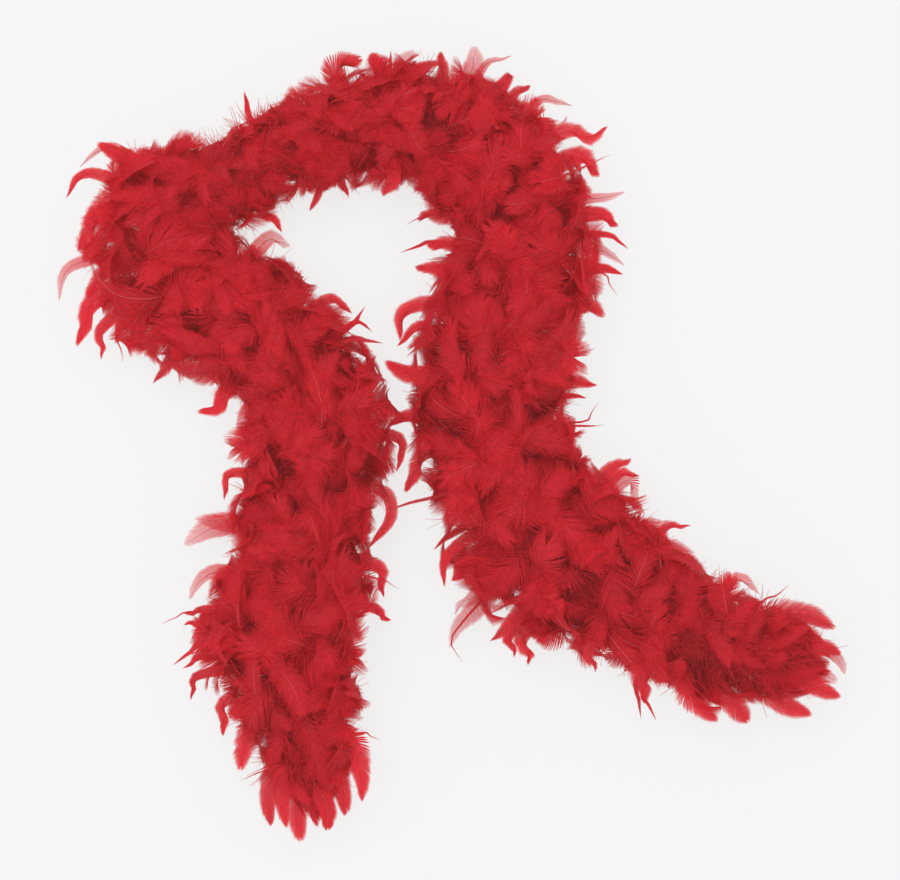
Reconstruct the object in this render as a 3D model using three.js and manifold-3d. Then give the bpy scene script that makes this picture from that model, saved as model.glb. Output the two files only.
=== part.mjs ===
// A feather boa that lies in a loose loop on a flat surface, with its two ends spread apart.
//
// Two soft strings run the whole length, twisted round each other. A thread is sewn round them, and the
// feathers' quills are caught under it, so that the feathers stand out all round like a bottle brush.
// The boa is limp. Here its strings are cut into equal lengths that are hinged to each other, and each
// length carries its own feathers, fused where the stitching binds their quills together.
//
// Millimetres, +Z up, the surface at z = 0. Angles are in radians where a name doesn't say degrees.

import * as THREE from "three";
import { mergeVertices } from "three/addons/utils/BufferGeometryUtils.js";
import Module from "manifold-3d";

const wasm = await Module();
wasm.setup();

// ---------------------------------------------------------------- driving dimensions

// Where the strings lie, seen from above, from the left end over the neck to the right end.
const ROUTE_XY = [
  [-148, -343], [-155, -310], [-167, -268], [-175, -226], [-172, -185], [-162, -143], [-152, -97],
  [-142, -50], [-138, 2], [-151, 49], [-189, 100], [-236, 138], [-277, 175], [-292, 213], [-269, 252],
  [-217, 285], [-155, 311], [-91, 327], [-26, 329], [25, 304], [62, 260], [72, 209], [57, 152],
  [41, 97], [43, 41], [45, -14], [67, -66], [112, -110], [164, -150], [217, -181], [276, -209], [355, -229],
];
const CORE_HEIGHT = 48; // the strings' height above the surface

// One entry for each length of the boa, from the left end: how far its feathers reach sideways, first
// to the outside of the loop and then to its inside.
const SIDE_REACH = [
  [78, 76], [92, 88], [86, 86], [80, 84], [134, 60], [58, 60],
  [76, 72], [90, 78], [94, 84], [90, 88], [98, 98], [70, 70],
];
const TOP_REACH_SHARE = 0.8; // a feather that points up reaches this share of the mean side reach

// One entry for each hinge, from the left end. "swing" turns about the vertical, and "lift" raises the
// end of the boa off the surface. clear_deg is the bend that the feathers on each side leave room for.
const HINGES = [
  { kind: "swing", clear_deg: 30 },
  { kind: "lift", clear_deg: 30 },
  { kind: "swing", clear_deg: 30 },
  { kind: "lift", clear_deg: 30 },
  { kind: "swing", clear_deg: 30 },
  { kind: "lift", clear_deg: 30 },
  { kind: "swing", clear_deg: 30 },
  { kind: "lift", clear_deg: 30 },
  { kind: "swing", clear_deg: 30 },
  { kind: "lift", clear_deg: 30 },
  { kind: "swing", clear_deg: 30 },
];

const STRING_RADIUS = 1.5;
const STRING_OFFSET = 1.7; // each string's centre from the common centreline
const STRING_TWIST_PITCH = 71;
const HINGE_CUT = 2.4; // gap between the ends of the strings at a hinge

const THREAD_RADIUS = 0.35;
const THREAD_OFFSET = 3.95;
const THREAD_PITCH = 57;

const COLLAR_INNER = 6.2; // the bound quills form a collar round the strings and the thread
const COLLAR_OUTER = 9;
const COLLAR_END_GAP = 5; // from a hinge to the collar's end

const FEATHERS_PER_LENGTH = 17;
const FEATHER_THICKNESS = 1.2;
const FEATHER_HALF_WIDTH = 12;
const WIDEST_SHARE = 0.62; // where along a feather its vane is widest
const ROOT_MARGIN = 4; // from the collar's end to the nearest quill
const TIP_MARGIN = 6; // from a hinge to the nearest feather's tip, where the boa is straight
const QUILL_HALF_WIDTH = 1.2;
const QUILL_ROOT = 6.9; // where a quill starts, inside the collar's wall
const LOWEST_SIDE_ANGLE = THREE.MathUtils.degToRad(-22);
const SIDE_ANGLE_SPAN = Math.PI - 2 * LOWEST_SIDE_ANGLE;
const GOLDEN_SHARE = 0.618034; // of a turn from one feather to the next, so that they spread evenly
const LENGTH_TURN = 0.37; // of a turn from one length's first feather to the next length's
const ROLL_STEP = 2.4;
const STRETCH_STEP = 7.1; // the phase from one feather to the next in the slow change of their reaches
const STRETCH = 0.1;

const RESTING_FEATHER_WIDTH = 15; // a feather that is pressed flat against the surface
const RESTING_FEATHER_PLACES = [0.27, 0.73]; // shares of a length
const RESTING_REACH_SHARE = 0.72;
// Its upper side, outward from the core and up from the surface, from the collar to the bend.
const RESTING_ROOT = { out: 5.0, below_core: 5.3 };
const RESTING_KNEE = { out: 13.8, up: 6.4 };
const RESTING_FOOT = 18.6;

const END_FEATHER_OVERHANG = 56; // how far the end feathers reach past the strings' ends
const KNOT_RADIUS = 3.6;
const KNOT_TUBE = 1.25;
const TAIL_LENGTH = 16;
const TAIL_START = 1.9; // sideways from the middle, where a tail leaves the knot
const TAIL_MIDDLE = 3.4;
const TAIL_SPREAD = 0.35;
const PIECE_GAP = 0.4; // between two pieces that touch in the real boa

const LENGTHS = HINGES.length + 1;

const CORD_COLOUR = 0x9c1a26;
const THREAD_COLOUR = 0x7d101c;
const FEATHER_COLOUR = 0xb81a28;

// ---------------------------------------------------------------- the route and its frames

const UP = new THREE.Vector3(0, 0, 1);
const route = new THREE.CatmullRomCurve3(
  ROUTE_XY.map(([x, y]) => new THREE.Vector3(x, y, CORE_HEIGHT)), false, "catmullrom", 0.5);
route.arcLengthDivisions = 2000;
const ROUTE_LENGTH = route.getLength();
const LENGTH_STEP = ROUTE_LENGTH / LENGTHS;

// The point, the direction along the boa and the direction to its left, at a distance from the left end.
function frameAt(distance) {
  const u = THREE.MathUtils.clamp(distance / ROUTE_LENGTH, 0, 1);
  const along = route.getTangentAt(u);
  const past = distance - u * ROUTE_LENGTH;
  const point = route.getPointAt(u).addScaledVector(along, past);
  return { point, along, left: new THREE.Vector3().crossVectors(UP, along) };
}

// A point at polar coordinates round the centreline. Angle 0 is to the left and a quarter turn is up.
function pointAround(distance, radius, angle) {
  const f = frameAt(distance);
  return f.point
    .addScaledVector(f.left, radius * Math.cos(angle))
    .addScaledVector(UP, radius * Math.sin(angle));
}

class HelixAroundRoute extends THREE.Curve {
  constructor(from, to, radius, pitch, phase) {
    super();
    Object.assign(this, { from, to, radius, pitch, phase });
  }

  getPoint(t) {
    const distance = this.from + t * (this.to - this.from);
    return pointAround(distance, this.radius, this.phase + (2 * Math.PI * distance) / this.pitch);
  }
}

// ---------------------------------------------------------------- solids

function solidOf(geometry) {
  const bare = new THREE.BufferGeometry();
  const source = geometry.index ? geometry.toNonIndexed() : geometry;
  bare.setAttribute("position", source.getAttribute("position").clone());
  const merged = mergeVertices(bare, 1e-4);
  return new wasm.Manifold(new wasm.Mesh({
    numProp: 3,
    vertProperties: merged.attributes.position.array,
    triVerts: new Uint32Array(merged.index.array),
  }));
}

function geometryOf(solid) {
  const mesh = solid.getMesh();
  const geometry = new THREE.BufferGeometry();
  geometry.setAttribute("position", new THREE.BufferAttribute(mesh.vertProperties, 3));
  geometry.setIndex(new THREE.BufferAttribute(mesh.triVerts, 1));
  return geometry;
}

function polygonShape(sides, radius) {
  const corners = Array.from({ length: sides }, (_, i) => {
    const angle = (2 * Math.PI * i) / sides;
    return new THREE.Vector2(radius * Math.cos(angle), radius * Math.sin(angle));
  });
  return new THREE.Shape(corners);
}

function tube(path, radius, sides, steps) {
  const section = polygonShape(sides, radius);
  return new THREE.ExtrudeGeometry(section, { steps, extrudePath: path, bevelEnabled: false });
}

// Puts a geometry's own X, Y and Z axes along three directions, at a point.
function placed(geometry, x, y, z, origin) {
  const matrix = new THREE.Matrix4().makeBasis(x, y, z).setPosition(origin);
  return geometry.applyMatrix4(matrix);
}

// ---------------------------------------------------------------- one feather

// A flat pointed vane on a narrow quill, from root to tip. roll turns it about its own length.
function standingFeather(root, tip, along, roll) {
  const reach = tip.distanceTo(root);
  const outline = new THREE.Shape([
    new THREE.Vector2(0, -QUILL_HALF_WIDTH),
    new THREE.Vector2(WIDEST_SHARE * reach, -FEATHER_HALF_WIDTH),
    new THREE.Vector2(reach, 0),
    new THREE.Vector2(WIDEST_SHARE * reach, FEATHER_HALF_WIDTH),
    new THREE.Vector2(0, QUILL_HALF_WIDTH),
  ]);
  const vane = new THREE.ExtrudeGeometry(outline, { depth: FEATHER_THICKNESS, bevelEnabled: false });
  vane.translate(0, 0, -FEATHER_THICKNESS / 2);
  const x = new THREE.Vector3().subVectors(tip, root).normalize();
  const z = new THREE.Vector3().crossVectors(x, along).normalize().applyAxisAngle(x, roll);
  const y = new THREE.Vector3().crossVectors(z, x);
  return solidOf(placed(vane, x, y, z, root));
}

// A feather under the boa: it comes down from the collar and lies flat on the surface, to one side.
function restingFeather(distance, side, reach) {
  const rootHeight = CORE_HEIGHT - RESTING_ROOT.below_core;
  const bent = new THREE.Shape([
    new THREE.Vector2(RESTING_ROOT.out - FEATHER_THICKNESS, rootHeight - FEATHER_THICKNESS / 4),
    new THREE.Vector2(RESTING_KNEE.out - FEATHER_THICKNESS, RESTING_KNEE.up - FEATHER_THICKNESS / 3),
    new THREE.Vector2(RESTING_FOOT - FEATHER_THICKNESS / 2, 0),
    new THREE.Vector2(reach, 0),
    new THREE.Vector2(reach, FEATHER_THICKNESS),
    new THREE.Vector2(RESTING_FOOT, FEATHER_THICKNESS),
    new THREE.Vector2(RESTING_KNEE.out, RESTING_KNEE.up),
    new THREE.Vector2(RESTING_ROOT.out, rootHeight),
  ]);
  const strip = new THREE.ExtrudeGeometry(bent, { depth: RESTING_FEATHER_WIDTH, bevelEnabled: false });
  strip.translate(0, 0, -RESTING_FEATHER_WIDTH / 2);
  const f = frameAt(distance);
  const outward = f.left.clone().multiplyScalar(side);
  const foot = f.point.clone().setZ(0);
  return solidOf(placed(strip, outward, UP, new THREE.Vector3().crossVectors(outward, UP), foot));
}

// ---------------------------------------------------------------- the feathers of one length

function startOf(index) {
  return index * LENGTH_STEP;
}

function collar(index) {
  const from = startOf(index) + COLLAR_END_GAP;
  const to = startOf(index + 1) - COLLAR_END_GAP;
  const ring = polygonShape(6, COLLAR_OUTER);
  ring.holes.push(new THREE.Path(polygonShape(6, COLLAR_INNER).getPoints().reverse()));
  const path = new HelixAroundRoute(from, to, 0, 1, 0);
  return solidOf(new THREE.ExtrudeGeometry(ring, { steps: 8, extrudePath: path, bevelEnabled: false }));
}

// How close to a hinge a feather's tip may come, so that it stays inside its own length's space.
function tipMargin(hinge, sideways, upward) {
  if (!hinge) return -END_FEATHER_OVERHANG;
  const arm = hinge.kind === "swing" ? Math.abs(sideways) : Math.max(upward, 0);
  return arm * Math.tan(THREE.MathUtils.degToRad(hinge.clear_deg / 2)) + TIP_MARGIN;
}

function standingFeathers(index) {
  const [outside, inside] = SIDE_REACH[index];
  const topReach = TOP_REACH_SHARE * (outside + inside) / 2;
  const rootFrom = startOf(index) + COLLAR_END_GAP + ROOT_MARGIN;
  const rootTo = startOf(index + 1) - COLLAR_END_GAP - ROOT_MARGIN;
  const feathers = [];
  for (let i = 0; i < FEATHERS_PER_LENGTH; i++) {
    const place = (i + 0.5) / FEATHERS_PER_LENGTH;
    const turn = (i * GOLDEN_SHARE + index * LENGTH_TURN) % 1;
    const angle = LOWEST_SIDE_ANGLE + turn * SIDE_ANGLE_SPAN;
    const stretch = 1 - STRETCH + STRETCH * Math.cos(STRETCH_STEP * i + index);
    const sideways = stretch * Math.cos(angle) * (Math.cos(angle) > 0 ? outside : inside);
    const upward = stretch * Math.sin(angle) * topReach;
    const from = startOf(index) + tipMargin(HINGES[index - 1], sideways, upward);
    const to = startOf(index + 1) - tipMargin(HINGES[index], sideways, upward);
    const rootDistance = THREE.MathUtils.lerp(rootFrom, rootTo, place);
    const tipDistance = THREE.MathUtils.lerp(from, to, place);
    const rootFrame = frameAt(rootDistance);
    const root = pointAround(rootDistance, QUILL_ROOT, angle);
    const tipFrame = frameAt(tipDistance);
    const tip = tipFrame.point.addScaledVector(tipFrame.left, sideways).addScaledVector(UP, upward);
    feathers.push(standingFeather(root, tip, rootFrame.along, ROLL_STEP * i));
  }
  return feathers;
}

function restingFeathers(index) {
  const [outside, inside] = SIDE_REACH[index];
  return RESTING_FEATHER_PLACES.flatMap((place) => [
    restingFeather(startOf(index + place), 1, RESTING_REACH_SHARE * outside),
    restingFeather(startOf(index + place), -1, RESTING_REACH_SHARE * inside),
  ]);
}

// A block that fills the space beyond a plane through the hinge, turned by tilt from square to the boa.
function blockBeyondHinge(hingeNumber, towards, axisName, tilt) {
  const size = 1000;
  const f = frameAt(startOf(hingeNumber));
  const axis = axisName === "up" ? UP : f.left;
  const x = f.along.clone().multiplyScalar(towards).applyAxisAngle(axis, tilt);
  const y = new THREE.Vector3().crossVectors(axis, x);
  const block = new THREE.BoxGeometry(size, size, size).translate(size / 2 - PIECE_GAP, 0, 0);
  return solidOf(placed(block, x, y, axis, f.point));
}

// Cuts a length's feathers back from a hinge, to the planes that they may lean to as the boa bends.
function clearedForHinge(solid, hingeNumber, towards) {
  const hinge = HINGES[hingeNumber - 1];
  if (!hinge) return solid;
  const half = THREE.MathUtils.degToRad(hinge.clear_deg / 2);
  const axisName = hinge.kind === "swing" ? "up" : "left";
  const tilts = hinge.kind === "swing" ? [-half, half] : [0, towards * half];
  return tilts.reduce((rest, tilt) =>
    rest.subtract(blockBeyondHinge(hingeNumber, towards, axisName, tilt)), solid);
}

function featherTuft(index) {
  const feathers = [...standingFeathers(index), ...restingFeathers(index)];
  let vanes = feathers.reduce((sum, feather) => sum.add(feather));
  vanes = clearedForHinge(vanes, index, -1);
  vanes = clearedForHinge(vanes, index + 1, 1);
  return geometryOf(collar(index).add(vanes));
}

// ---------------------------------------------------------------- strings, thread, knots and tails

function string(index, phase) {
  const from = startOf(index) + HINGE_CUT / 2;
  const to = startOf(index + 1) - HINGE_CUT / 2;
  const path = new HelixAroundRoute(from, to, STRING_OFFSET, STRING_TWIST_PITCH, phase);
  return tube(path, STRING_RADIUS, 5, 12);
}

function lockStitch(index) {
  const from = startOf(index) + COLLAR_END_GAP;
  const to = startOf(index + 1) - COLLAR_END_GAP;
  return tube(new HelixAroundRoute(from, to, THREAD_OFFSET, -THREAD_PITCH, 0), THREAD_RADIUS, 4, 14);
}

// Directions and places at one end of the boa: outward points away from the feathers.
function endFrame(end) {
  const distance = end === "left" ? 0 : ROUTE_LENGTH;
  const f = frameAt(distance);
  return { point: f.point, outward: f.along.clone().multiplyScalar(end === "left" ? -1 : 1), side: f.left };
}

function endKnot(end) {
  const f = endFrame(end);
  const knot = new THREE.TorusKnotGeometry(KNOT_RADIUS, KNOT_TUBE, 30, 5, 2, 3);
  const halfDepth = KNOT_RADIUS * 0.5 + KNOT_TUBE + PIECE_GAP;
  const centre = f.point.clone().addScaledVector(f.outward, halfDepth);
  return placed(knot, f.side, new THREE.Vector3().crossVectors(f.outward, f.side), f.outward, centre);
}

function cordTail(end, side) {
  const f = endFrame(end);
  const start = KNOT_RADIUS + 2 * (KNOT_TUBE + PIECE_GAP);
  const tip = start + TAIL_LENGTH;
  const points = [
    [start, TAIL_START],
    [start + TAIL_LENGTH / 2, TAIL_MIDDLE],
    [tip, TAIL_START + TAIL_SPREAD * TAIL_LENGTH],
  ];
  const path = new THREE.CatmullRomCurve3(points.map(([out, across]) =>
    f.point.clone().addScaledVector(f.outward, out).addScaledVector(f.side, side * across)));
  return tube(path, STRING_RADIUS, 6, 4);
}

// ---------------------------------------------------------------- the whole boa

const boa = new THREE.Group();
boa.name = "feather_boa";

function addPiece(name, geometry, color, roughness) {
  const mesh = new THREE.Mesh(geometry, new THREE.MeshStandardMaterial({ color, roughness, metalness: 0 }));
  mesh.name = name;
  boa.add(mesh);
}

for (let index = 0; index < LENGTHS; index++) {
  const number = String(index + 1).padStart(2, "0");
  addPiece(`core_cord_a_${number}`, string(index, 0), CORD_COLOUR, 0.9);
  addPiece(`core_cord_b_${number}`, string(index, Math.PI), CORD_COLOUR, 0.9);
  addPiece(`lock_stitch_${number}`, lockStitch(index), THREAD_COLOUR, 0.7);
  addPiece(`feather_tuft_${number}`, featherTuft(index), FEATHER_COLOUR, 0.85);
}
for (const end of ["left", "right"]) {
  addPiece(`end_knot_${end}`, endKnot(end), CORD_COLOUR, 0.9);
  addPiece(`cord_tail_a_${end}`, cordTail(end, 1), CORD_COLOUR, 0.9);
  addPiece(`cord_tail_b_${end}`, cordTail(end, -1), CORD_COLOUR, 0.9);
}

export default boa;
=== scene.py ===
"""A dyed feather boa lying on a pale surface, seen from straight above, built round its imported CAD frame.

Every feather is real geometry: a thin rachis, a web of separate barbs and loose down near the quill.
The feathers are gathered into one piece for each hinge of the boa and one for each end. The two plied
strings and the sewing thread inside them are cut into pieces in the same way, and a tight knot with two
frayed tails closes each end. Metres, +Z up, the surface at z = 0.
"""
import math

import bpy
import numpy as np
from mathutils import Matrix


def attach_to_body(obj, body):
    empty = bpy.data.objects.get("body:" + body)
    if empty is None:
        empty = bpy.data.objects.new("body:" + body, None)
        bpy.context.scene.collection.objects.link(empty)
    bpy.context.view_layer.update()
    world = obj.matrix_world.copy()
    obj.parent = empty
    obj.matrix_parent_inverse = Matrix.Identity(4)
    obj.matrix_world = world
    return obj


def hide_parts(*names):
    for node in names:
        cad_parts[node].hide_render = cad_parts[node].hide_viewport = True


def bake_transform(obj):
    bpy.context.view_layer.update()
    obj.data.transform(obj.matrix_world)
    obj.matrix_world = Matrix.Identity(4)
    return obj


# ---------- driving dimensions, metres

SEED = 7

# Where the core lies, seen from above, from the left end over the neck to the right end (as in part.mjs).
ROUTE_XY = (
    (-0.148, -0.343), (-0.155, -0.310), (-0.167, -0.268), (-0.175, -0.226), (-0.172, -0.185),
    (-0.162, -0.143), (-0.152, -0.097), (-0.142, -0.050), (-0.138, 0.002), (-0.151, 0.049),
    (-0.189, 0.100), (-0.236, 0.138), (-0.277, 0.175), (-0.292, 0.213), (-0.269, 0.252),
    (-0.217, 0.285), (-0.155, 0.311), (-0.091, 0.327), (-0.026, 0.329), (0.025, 0.304),
    (0.062, 0.260), (0.072, 0.209), (0.057, 0.152), (0.041, 0.097), (0.043, 0.041),
    (0.045, -0.014), (0.067, -0.066), (0.112, -0.110), (0.164, -0.150), (0.217, -0.181),
    (0.276, -0.209), (0.355, -0.229),
)
CORE_HEIGHT = 0.048
LENGTHS = 12

# The strings, the thread and the knots lie where part.mjs has them.
STRING_OFFSET = 0.0017
STRING_TWIST_PITCH = 0.071
STRING_PLIES = 3
STRING_PLY_RADIUS = 0.00078
STRING_PLY_OFFSET = 0.0008
STRING_PLY_PITCH = 0.008
STRING_STEP = 0.0010  # between the rows of points along it
THREAD_OFFSET = 0.00395
THREAD_PITCH = -0.057
THREAD_PLIES = 2
THREAD_PLY_RADIUS = 0.0002
THREAD_PLY_OFFSET = 0.00017
THREAD_PLY_PITCH = 0.0016
THREAD_STEP = 0.0003
KNOT_RADIUS = 0.0036
KNOT_CENTRE = 0.00345  # beyond the end of the strings
KNOT_PLY_RADIUS = 0.00062
KNOT_PLY_OFFSET = 0.00062
KNOT_PLY_PITCH = 0.0055
KNOT_ROWS = 160
TAIL_WAY = ((0.0069, 0.0019), (0.0149, 0.0034), (0.0229, 0.0075))  # outward from the end, and sideways
TAIL_STEPS = 24
TAIL_OPENS = 1.2  # how much further out its plies lie at its end, as a share
TAIL_THINS = 0.5  # and how much thinner they are there
TUBE_SIDES = 7

TAIL_FIBRES = 40
FIBRE_REACH = (0.003, 0.007)
FIBRE_RADIUS = 0.00009
FIBRE_SPREAD = 0.35  # how far a fibre's direction strays from the tail's, as a share
FIBRE_DROOP = 0.25
FIBRE_TAPER = 0.6
FIBRE_ROWS = 6
FIBRE_SIDES = 3
FRAYED_ROWS = 9  # the last rows of a tail, where its fibres come loose

# How far the feathers reach sideways at the ends, the hinges and halfway between them: outside, inside.
SIDE_REACH = (
    (0.038, 0.051), (0.055, 0.073), (0.092, 0.082), (0.066, 0.084), (0.077, 0.060), (0.073, 0.086),
    (0.057, 0.072), (0.070, 0.076), (0.094, 0.062), (0.084, 0.054), (0.033, 0.053), (0.044, 0.053),
    (0.058, 0.062), (0.065, 0.063), (0.071, 0.073), (0.080, 0.063), (0.086, 0.070), (0.084, 0.075),
    (0.081, 0.081), (0.082, 0.080), (0.086, 0.106), (0.080, 0.075), (0.067, 0.062), (0.058, 0.064),
    (0.048, 0.038),
)
TOP_REACH_SHARE = 0.72
FLOOR_CLEARANCE = 0.0012
PRESSED_OVER = 0.003  # the height over which feathers are pressed gradually flat against the surface

BARE_END = 0.004  # how far the strings run bare at each end
END_CLOSES_IN = 0.075  # beyond the strings' end the feathers draw together over this distance
LEAST_DRAWN_IN = 0.25  # but no nearer to the middle than this share of their reach
FEATHERS_PER_LENGTH = 165
HINGE_FILLING = {0: 1.5, 4: 1.12, LENGTHS: 1.5}  # where more feathers grow: the ends and the sharp corner
RACHIS_STATIONS = 16
BARBS_PER_SIDE = 50
BARB_SHARES = (0.0, 0.5, 0.8, 1.0)  # where along a barb its rows of points lie
BARB_CLOSED = (1.0, 1.0, 1.0, 0.4)  # how much of the space to its neighbours a barb fills there
SOFT_BARB_CLOSED = (1.0, 0.95, 0.62, 0.12)  # the same for a feather with loose soft edges
WEB_START = 0.34  # the share of a feather below its web, where only down grows

# How the scattered feathers vary. Two numbers in brackets are the least and the most of an even
# spread, and a number called a spread is a standard deviation.
GOLDEN_ANGLE = 2.39996  # radians round the core from one feather to the next
ANGLE_SPREAD = 0.35
FIRST_ANGLE_RANGE = 6.28
STEEPLY_DOWN = -0.55  # the sine of an angle that points into the surface
TURNED_UP_SHARE = 0.2  # of the feathers that would point there
# Each feather draws a lot from 0 to 1, which says how it lies among its neighbours.
PROUD_BELOW, PROUD_SINE = 0.10, 0.45  # one that points up may stand out above them
JUTTING_BELOW, SIDEWAYS_COSINE = 0.3, 0.75  # one that points sideways may jut out
UNDER_ABOVE = 0.68  # one with a lot above this lies under them
RISE = (1.8, 2.8)  # how soon a feather reaches the outline: with more it lies along it sooner
STEEP_RISE = (1.1, 1.5)
REACH = (0.90, 1.04)  # as a share of the envelope's
PROUD_REACH = (1.02, 1.14)
UNDER_REACH = (0.60, 0.88)
SWEEP = (0.045, 0.08)  # how far a feather runs along the outline
JUTTING_SWEEP_SHARE = 0.5
SWEEP_POWER = 1.8  # a feather leaves the core straight outward and turns along the outline later
CURL_SPREAD = 0.9  # radians of turn over a feather's length
CURL_PIVOT = 0.4  # where along a feather its curl leaves its heading as it was
ROOT_RADIUS = 0.0032  # where the quills are held, from the middle of the core
LEAST_TURNING_RADIUS = 0.03
WIDTH = (0.018, 0.030)  # about the length of the longest barbs
FULL_WIDTH_REACH = 0.065  # where the boa is thinner than this, its feathers are narrower too
LEAST_WIDTH_SHARE = 0.6
SHEER_SHARE = 0.16  # of the feathers are see-through towards their tips
SOFT = (0.4, 0.95)  # how loose the edges are, from 0 to 1
SIDE_SOFT_SHARE = 0.4  # the feathers along the outline have cleaner edges
ROLL_SPREAD = 0.22
CUP = (0.0, 0.25)  # how far the barbs' tips bend down
TONE = (0.2, 1.0)  # of the dye, from dark at 0 to bright at 1; a feather sunk in a hollow gets 0, as painted shade
PALE_QUILL_SHARE = 0.18
PALE_QUILL, PLAIN_QUILL = 0.9, 0.1

# How the feathers change towards an end of the boa.
END_ZONE = 0.075  # a feather's nearness to the end is 0 this far from it, and 1 at it
ALL_TURNED = 0.6  # the nearness from which all of them point away along the boa
HEADING_SPREAD = 0.35
LEFT_END_TRIM = 0.12  # how much shorter they are
RIGHT_END_TRIM = 0.42
END_NARROWER = 0.3
END_FIRMER = 0.6
INNER_DRAWN_IN = 0.9  # how near to the core the innermost of them lie

# The tufts vary less, because their places are given.
TUFT_RISE = (-0.015, 0.030)
TUFT_WANDER = (-0.006, 0.006)
TUFT_SOFT = (0.0, 0.25)
TUFT_POINTED = (0.6, 1.0)
TUFT_ROLL_SPREAD = 0.2
TUFT_CUP = (0.0, 0.2)
TUFT_TONE = (0.0, 0.7)
TUFT_QUILL = (0.1, 0.6)

# The rachis and the two webs, along a web from its lowest barb at 0 to its tip at 1.
RACHIS_TIP_RADIUS = 0.0002
RACHIS_ROOT_EXTRA = 0.0006
RACHIS_TAPER_POWER = 0.8
LOWEST_BARB, BARB_GROWTH, BARB_FALL = 0.86, 0.62, 0.86  # their lengths as shares of the feather's width
TIP_TAPER, POINTED_TIP_TAPER = 0.10, 0.38
LOWEST_LEAN, LEAN_FALL = 1.0, 0.35  # radians from the rachis
TIP_LEAN_FALL, POINTED_LEAN_FALL = 0.25, 0.35
LEAN_LIMITS = (0.05, 1.45)
UNEVEN_LENGTH, SOFT_UNEVEN_LENGTH = 0.02, 0.12
UNEVEN_LEAN, SOFT_UNEVEN_LEAN = 0.02, 0.05
UNEVEN_RISE = 0.02
UNEVEN_TONE = 0.12
SPLIT_CHANCE = 0.02
SPLIT_LEAN = 0.12
LEAST_FLUFF = 0.1  # the lowest barbs are loose and downy, even on a firm feather
STRAY = 0.3  # how far they stray in length and direction
FLUFF_OPENS = 0.5
SHEER_OPENS = 0.6
BARB_BEND = 0.35  # towards the feather's tip
WIDEST_BARB = 0.8  # half of one, as a share of the space between neighbours on the rachis
NOISE_PASSES = 2
WEB_DEPTH = 0.9  # how much of a barb's depth, which sets its painted shade, comes from its place on the rachis

# The down.
DOWN_PER_FEATHER = 34
DOWN_ROWS = 5
DOWN_FROM = 0.04  # shares of the rachis where it grows
DOWN_ABOVE_WEB_START = 0.12
DOWN_REACH = (0.014, 0.034)
DOWN_ALONG = (0.2, 1.1)
DOWN_FLATTENED = 0.8
DOWN_TILT = 0.3
DOWN_WAVES = (2, 6)
DOWN_FIRST_WAVE_RANGE = 6
DOWN_WAVE_DEPTH = 0.0030
DOWN_BEND = 0.006
DOWN_HALF_WIDTH = 0.0005
DOWN_TAPER = 0.7
DOWN_DARKER = 0.1
# how much of the down's depth, which sets its painted shade, follows its place on the rachis
DOWN_DEPTH = 0.7

# The coordinates along and across the fibres, in which the streaks of the dye are drawn.
RACHIS_STREAKS, DOWN_STREAKS, DOWN_STREAK_LENGTH = 40, 60, 3
BARB_SIDES_APART, FEATHERS_APART = 100, 37.0

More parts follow.
